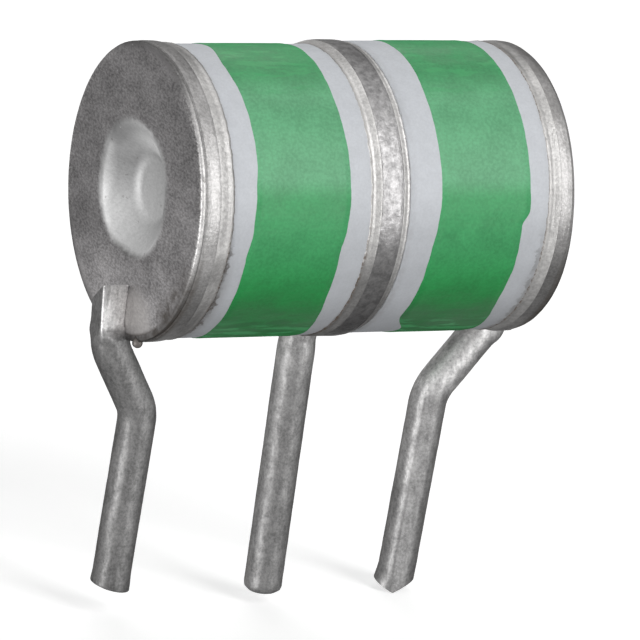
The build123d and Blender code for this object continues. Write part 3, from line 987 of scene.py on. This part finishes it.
def bent_line(corners, radii):
    """Points and directions along a wire's centre line in X and Z: runs joined by arcs."""
    corners = [Vector(corner) for corner in corners]
    line = []
    start = corners[0]
    for before, here, after, radius in zip(corners, corners[1:], corners[2:], radii):
        first, last, sweep, at = fillet(before, here, after, radius)
        line += straight(start, first)
        way, next_way = (here - before).normalized(), (after - here).normalized()
        steps = max(6, round(math.degrees(sweep) / 3))
        for share in (step / steps for step in range(1, steps)):
            line.append((at(share), way.lerp(next_way, share).normalized()))
        start = last
    return line + straight(start, corners[-1])


def wire(line, depth, section):
    """Sweep of a round section. section gives each ring's half sizes, squareness and shift."""
    bm = bmesh.new()
    rings = []
    for place, ahead in line:
        across = Vector((-ahead.y, ahead.x))
        half_across, half_deep, square, shift = section(place)
        ring = []
        for angle in turns(wire_segments):
            c, s = math.cos(angle), math.sin(angle)
            along = half_across * math.copysign(abs(c) ** (2 / square), c) + shift
            deep = half_deep * math.copysign(abs(s) ** (2 / square), s)
            point = Vector((place.x + across.x * along, depth + deep, place.y + across.y * along))
            dent = 0.006 * rough(point, 1.6, 22) + 0.004 * rough(point, 5, 23) - 0.006
            outward = Vector((across.x * c, s, across.y * c))
            ring.append(bm.verts.new(point + outward * dent))
        rings.append(ring)
    skinned(bm, rings)
    bm.faces.new(rings[0])
    bm.faces.new(rings[-1])
    return bm


def cut(bm, point, normal, edge=0.02):
    """Takes off what lies on the normal's side of a plane, closes the cut and eases its edge."""
    bmesh.ops.bisect_plane(
        bm, geom=[*bm.verts, *bm.edges, *bm.faces], dist=1e-5,
        plane_co=point, plane_no=normal, clear_outer=True,
    )
    rim = [e for e in bm.edges if e.is_boundary]
    bmesh.ops.holes_fill(bm, edges=rim, sides=0)
    rim = [e for e in rim if e.is_valid]
    options = {"segments": 2, "affect": "EDGES", "profile": 0.5, "clamp_overlap": True}
    bmesh.ops.bevel(bm, geom=rim, offset=edge, **options)


# End leads: depth is in Y, and corners and radii give the bent line in X and Z. The press of the
# jaws and the pinch of the cutters grow between two heights. Cuts lean by an angle in degrees.
left_cut = 11
leads = {
    "left": {
        "depth": -0.20,
        "corners": [(-6.20, 4.50), (-6.05, 2.30), (-4.93, 0.42), (-5.13, -4.95)],
        "radii": [1.30, 1.10],
        "pressed": (2.50, 3.05),
        "pinched": (-4.20, -4.75),
        "spread": 0.030,
        "lean": 0,
        "tip": (-5.13, -4.78 + wire_radius * math.tan(math.radians(left_cut))),
        "cuts": [-left_cut],
    },
    "right": {
        "depth": 0.50,
        "corners": [(6.20, 4.50), (6.20, 2.50), (4.65, 0.47), (4.38, -5.60)],
        "radii": [0.70, 1.30],
        "pressed": (2.15, 2.75),
        "pinched": (-4.75, -5.40),
        "spread": 0.055,
        "lean": -0.045,
        "tip": (4.385, -5.48),
        "cuts": [-25, 32],
    },
}
cutter_turn = math.radians(-30)
cutter_way = Vector((math.cos(cutter_turn), math.sin(cutter_turn), 0))
down = Vector((0, 0, -1))


def end_section(side, lead):
    """Round wire that the welding jaws pressed nearly square along the end face."""
    def section(place):
        pressed = smoothstep(*lead["pressed"], place.y)
        pinched = smoothstep(*lead["pinched"], place.y)
        face_gap = abs(place.x) - face_x
        inner = wire_radius + (face_gap - wire_radius) * pressed * (face_gap < wire_radius)
        outer = wire_radius - 0.055 * pressed
        half = (outer + inner) / 2 + lead["spread"] * pinched
        shift = side * ((outer - inner) / 2 + lead["lean"] * pinched)
        return half, wire_radius - 0.16 * pressed, 2 + 5 * pressed, shift
    return section


for side_name, side in sides.items():
    lead = leads[side_name]
    line = bent_line(lead["corners"], lead["radii"])
    bm = wire(line, lead["depth"], end_section(side, lead))
    # The top is slanted off towards the back
    cut(bm, (side * 6.2, lead["depth"] - 0.385, 4.19), (0, 0.66, 0.75), 0.05)
    tip_x, tip_z = lead["tip"]
    for slope in map(math.radians, lead["cuts"]):
        normal = cutter_way * math.sin(slope) + down * math.cos(slope)
        cut(bm, (tip_x, lead["depth"], tip_z), normal)
    node = f"lead_{side_name}"
    piece(f"{node}_wire", bm, node, "lead", sharp_angle=50)


# The middle lead is necked under the ring, and its lower end is rounded over
middle_x, middle_y = -0.12, 0.04
middle_lean = 0.03
middle_top_z, middle_foot_z = 2.66, -5.16
foot_height = 0.22


def middle_section(place):
    radius = wire_radius - 0.025 * smoothstep(1.9, 2.5, place.y)
    return radius, radius, 2, 0


top, foot = Vector((middle_x, middle_top_z)), Vector((middle_x - middle_lean, middle_foot_z))
bm = wire(straight(top, foot), middle_y, middle_section)
for v in bm.verts:
    low = v.co.z - middle_foot_z
    if low < foot_height:
        out_x, out_y = v.co.x - foot.x, v.co.y - middle_y
        reach = math.hypot(out_x, out_y)
        share = 1 - max(low / foot_height, 0)
        limit = wire_radius - 0.15 * (1 - math.sqrt(1 - share * share))
        if reach > limit:
            v.co.x += out_x * (limit / reach - 1)
            v.co.y += out_y * (limit / reach - 1)
piece("lead_middle_wire", bm, "lead_middle", "lead", sharp_angle=50)


# Welds


def weld_patch(side, depth):
    """Low puddle of weld metal that fades onto the end face in front of a lead."""
    centre_y, centre_z = depth - 0.95, rim_height + 0.85
    centre_up = centre_z - axis_height
    flat_y = depth - 0.345
    rim_reach_radius = 4.07
    steps = 22
    bm = bmesh.new()
    tops, unders = [], []
    for share in (step / steps for step in range(1, steps + 1)):
        top, under = [], []
        for angle in turns(weld_segments):
            # The patch ends at its own outline, at the lead's flat or at the electrode's rim
            c, s = math.cos(angle), math.sin(angle)
            reach = (1.42 - 0.34 * abs(s)) * (1 + 0.08 * noise.noise(Vector((c, s, 3.3)) * 1.5))
            if c > 0:
                reach = min(reach, (flat_y - centre_y) / c)
            b = centre_y * c + centre_up * s
            q = centre_y**2 + centre_up**2 - rim_reach_radius**2
            reach = min(reach, -b + math.sqrt(b * b - q))
            y, z = centre_y + reach * share * c, centre_z + reach * share * s
            r = math.hypot(y, z - axis_height)
            surface = face_x - 0.18 * smoothstep(face_edge_radius - 0.04, flange_radius + 0.05, r)
            height = 0.028 * (1 - smoothstep(0.10, 1.0, share)) + 0.002 * rough((0, y, z), 4, 24)
            climb = 0.040 * min(max((y - flat_y + 0.32) / 0.34, 0), 1) ** 2
            climb *= smoothstep(4.20, 3.90, z) * smoothstep(2.85, 3.15, z)
            thin_edge = 0.008 * smoothstep(0.85, 1.0, share) * smoothstep(flat_y, flat_y - 0.1, y)
            top_x = surface + height + climb + 0.004 - thin_edge
            top.append(bm.verts.new((side * top_x, y, z)))
            under.append(bm.verts.new((side * (surface - 0.04), y, z)))
        tops.append(top)
        unders.append(under)
    poles = [[bm.verts.new((side * (face_x + at), centre_y, centre_z))] for at in (0.032, -0.04)]
    skinned(bm, [poles[0], *tops, *unders[::-1], poles[1]])
    return bm


def bead(bm, centre, radius, rows=14, columns=24):
    """Round drop of weld metal, a little out of round."""
    loops = [[bm.verts.new(centre + Vector((0, 0, radius)))]]
    for tilt in (math.pi * row / rows for row in range(1, rows)):
        ring = []
        for angle in turns(columns):
            flat = math.sin(tilt)
            out = Vector((flat * math.cos(angle), flat * math.sin(angle), math.cos(tilt)))
            size = radius * (1 + 0.06 * noise.noise(out * 1.4 + Vector((5, 1, 2))))
            ring.append(bm.verts.new(centre + out * size))
        loops.append(ring)
    loops.append([bm.verts.new(centre - Vector((0, 0, radius)))])
    skinned(bm, loops)


for side_name, side in sides.items():
    depth = leads[side_name]["depth"]
    bm = weld_patch(side, depth)
    if side_name == "left":
        bead_y, bead_from_axis = depth - 1.08, 4.15
        bead_z = axis_height - math.sqrt(bead_from_axis**2 - bead_y**2)
        bead(bm, Vector((-5.79, bead_y, bead_z)), 0.148)
    piece(f"weld_{side_name}_patch", bm, f"weld_{side_name}", "weld")

# Heights and radii of the collar, from its bore's lower end outwards, up and back to the bore.
# Outside it is uneven, and its top follows the ring's round rim.
collar_bore_radius = 0.45
collar_seat_radius = 4.08
collar_rows = [
    (2.28, collar_bore_radius), (2.28, 0.480), (2.29, 0.512), (2.34, 0.516), (2.40, 0.518),
    (2.46, 0.524), (2.53, 0.536), (2.60, 0.556), (2.62, collar_bore_radius),
]
bm = bmesh.new()
loops = []
for height, radius in collar_rows:
    outside = radius > collar_bore_radius
    ring = []
    for angle in turns(weld_segments):
        point = Vector((math.cos(angle), math.sin(angle), height))
        size = radius + 0.006 * rough(point, 3, 25) * outside
        y = size * point.y
        seat_z = axis_height - math.sqrt(collar_seat_radius**2 - y * y)
        lift = (seat_z - rim_height) * smoothstep(2.40, 2.60, height) + 0.006 * rough(point, 4, 26)
        ring.append(bm.verts.new((middle_x + size * point.x, middle_y + y, height + lift * outside)))
    loops.append(ring)
skinned(bm, loops, closed=True)
piece("weld_middle_collar", bm, "weld_middle", "lead")


# Pieces inside the tube keep their CAD shape
for side_name in sides:
    dress(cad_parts[f"activation_compound_{side_name}"], "glass")
    dress(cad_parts[f"ignition_stripes_{side_name}"], "graphite")


# The tube stands over a plain white floor, in white surroundings, under soft lamps in metres:
# name, direction, width, height and radiance. Radiance 1 would look white.
lamp_distance = 1.5
for name, direction, width, height, radiance in (
    ("key_lamp", (0.440, -0.800, 0.420), 0.65, 1.85, 4.6),
    ("left_strip", (-0.955, -0.290, -0.06), 0.48, 1.40, 7.0),
    ("right_strip", (0.33, -0.90, -0.16), 0.16, 0.70, 4.5),
    ("top_lamp", (0.30, 0.30, 0.90), 1.2, 1.2, 1.0),
    ("back_lamp", (0.20, 0.85, 0.45), 1.0, 1.0, 1.6),
):
    data = bpy.data.lights.new(name, "AREA")
    data.shape = "RECTANGLE"
    data.size, data.size_y = width, height
    data.energy = radiance * math.pi * width * height
    lamp = placed(name, data)
    away = Vector(direction).normalized()
    lamp.location = body_centre * MM + away * lamp_distance
    lamp.rotation_mode = "QUATERNION"
    lamp.rotation_quaternion = away.to_track_quat("Z", "Y")

# The floor lies just under the longest lead and takes the tube's shadow. It puts no light on the
# tube, and isn't seen from below.
floor_half, floor_z = 1.5, -5.49 * MM
bm = bmesh.new()
floor_corners = ((-1, -1), (1, -1), (1, 1), (-1, 1))
bm.faces.new([bm.verts.new((floor_half * x, floor_half * y, floor_z)) for x, y in floor_corners])
mesh = bpy.data.meshes.new("floor")
bm.to_mesh(mesh)
bm.free()
floor = placed("floor", mesh)
floor.visible_diffuse = floor.visible_glossy = floor.visible_transmission = floor.visible_shadow = False
floor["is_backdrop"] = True
paper = bpy.data.materials.new("white_floor")
paper.use_nodes = True
nodes = paper.node_tree.nodes
surface = nodes["Principled BSDF"]
rays = nodes.new("ShaderNodeLightPath").outputs
put(surface.inputs["Base Color"], (0.80, 0.80, 0.80, 1))
put(surface.inputs["Roughness"], 0.9)
put(surface.inputs["Specular IOR Level"], 0.0)
put(surface.inputs["Emission Color"], (1, 1, 1, 1))
put(surface.inputs["Emission Strength"], times(rays["Is Camera Ray"], 0.6))
below = nodes.new("ShaderNodeNewGeometry").outputs["Backfacing"]
clear = nodes.new("ShaderNodeBsdfTransparent").outputs[0]
either = filled("ShaderNodeMixShader", below, surface.outputs[0], clear)
put(nodes["Material Output"].inputs["Surface"], either.outputs[0])
mesh.materials.append(paper)

# The world is white where it is seen or mirrored, and lights the tube only faintly
world = bpy.data.worlds.new("studio")
bpy.context.scene.world = world
world.use_nodes = True
nodes = world.node_tree.nodes
rays = nodes.new("ShaderNodeLightPath").outputs
seen = most(rays["Is Camera Ray"], rays["Is Glossy Ray"], rays["Is Transmission Ray"])
put(nodes["Background"].inputs["Color"], (1, 1, 1, 1))
put(nodes["Background"].inputs["Strength"], ramp(seen, 0.0, 1.0, 0.06, 1.0))

bpy.context.scene.view_settings.view_transform = "Standard"

low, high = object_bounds()
{"cad": [list(cad_low), list(cad_high)], "visual": [list(low), list(high)]}
